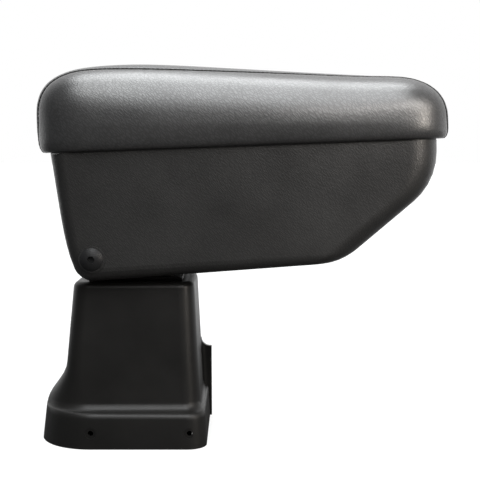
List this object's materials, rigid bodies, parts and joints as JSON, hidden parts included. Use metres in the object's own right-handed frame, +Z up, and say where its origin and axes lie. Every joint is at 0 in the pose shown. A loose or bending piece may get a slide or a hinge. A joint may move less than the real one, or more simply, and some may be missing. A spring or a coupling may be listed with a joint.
{
  "type": "car centre armrest",
  "caption": "Black car centre armrest: padded leatherette lid hinged on a sloped-front storage box that swings up on a hollow pedestal fitted over the console.",
  "frame": {"origin": "centre of the pedestal's bottom rim, on the rim's plane", "axes": "+X towards the front of the car, +Y to the car's left, +Z up"},
  "size_m": [0.307, 0.132, 0.2849],
  "materials": {
    "leatherette": "black grained leatherette, satin",
    "box_abs": "black ABS with fine leather grain",
    "base_abs": "black ABS with soft satin grain",
    "inner_abs": "plain black ABS, matt",
    "foam": "moulded polyurethane foam",
    "black_steel": "black powder coat",
    "zinc_steel": "bright zinc plating",
    "nylon": "black nylon",
    "rubber": "black rubber",
    "magnet": "nickel plating"
  },
  "bodies": {
    "base": {"pedestal_cover": "base_abs", "tilt_bracket": "black_steel", "backing_plate": "zinc_steel", "bracket_bolts": "black_steel", "bracket_nuts": "zinc_steel", "pivot_bush_right": "nylon", "pivot_bush_left": "nylon", "rest_pad": "rubber"},
    "box": {"box_shell": "box_abs", "storage_tray": "inner_abs", "pivot_tube": "zinc_steel", "pivot_spacer_right": "nylon", "pivot_spacer_left": "nylon", "pivot_plate_right": "zinc_steel", "pivot_plate_left": "zinc_steel", "pivot_bolt_right": "black_steel", "pivot_bolt_left": "black_steel", "hinge_lower_leaf": "black_steel", "hinge_lower_screws": "zinc_steel", "hinge_pin": "zinc_steel", "catch_magnet": "magnet", "lid_buffer_right": "rubber", "lid_buffer_left": "rubber"},
    "lid": {"lid_cover": "leatherette", "lid_foam": "foam", "lid_pan": "inner_abs", "hinge_upper_leaf": "black_steel", "hinge_upper_screws": "zinc_steel", "striker_plate": "zinc_steel", "striker_rivets": "zinc_steel"}
  },
  "joints": [
    {"name": "box_tilt", "type": "hinge", "parent": "base", "child": "box", "pos_m": [-0.0188, 0, 0.1412], "axis": [0, -1, 0], "range_deg": [0, 80]},
    {"name": "lid_open", "type": "hinge", "parent": "box", "child": "lid", "pos_m": [-0.05156, 0, 0.22024], "axis": [0, -1, 0], "range_deg": [0, 80]}
  ]
}
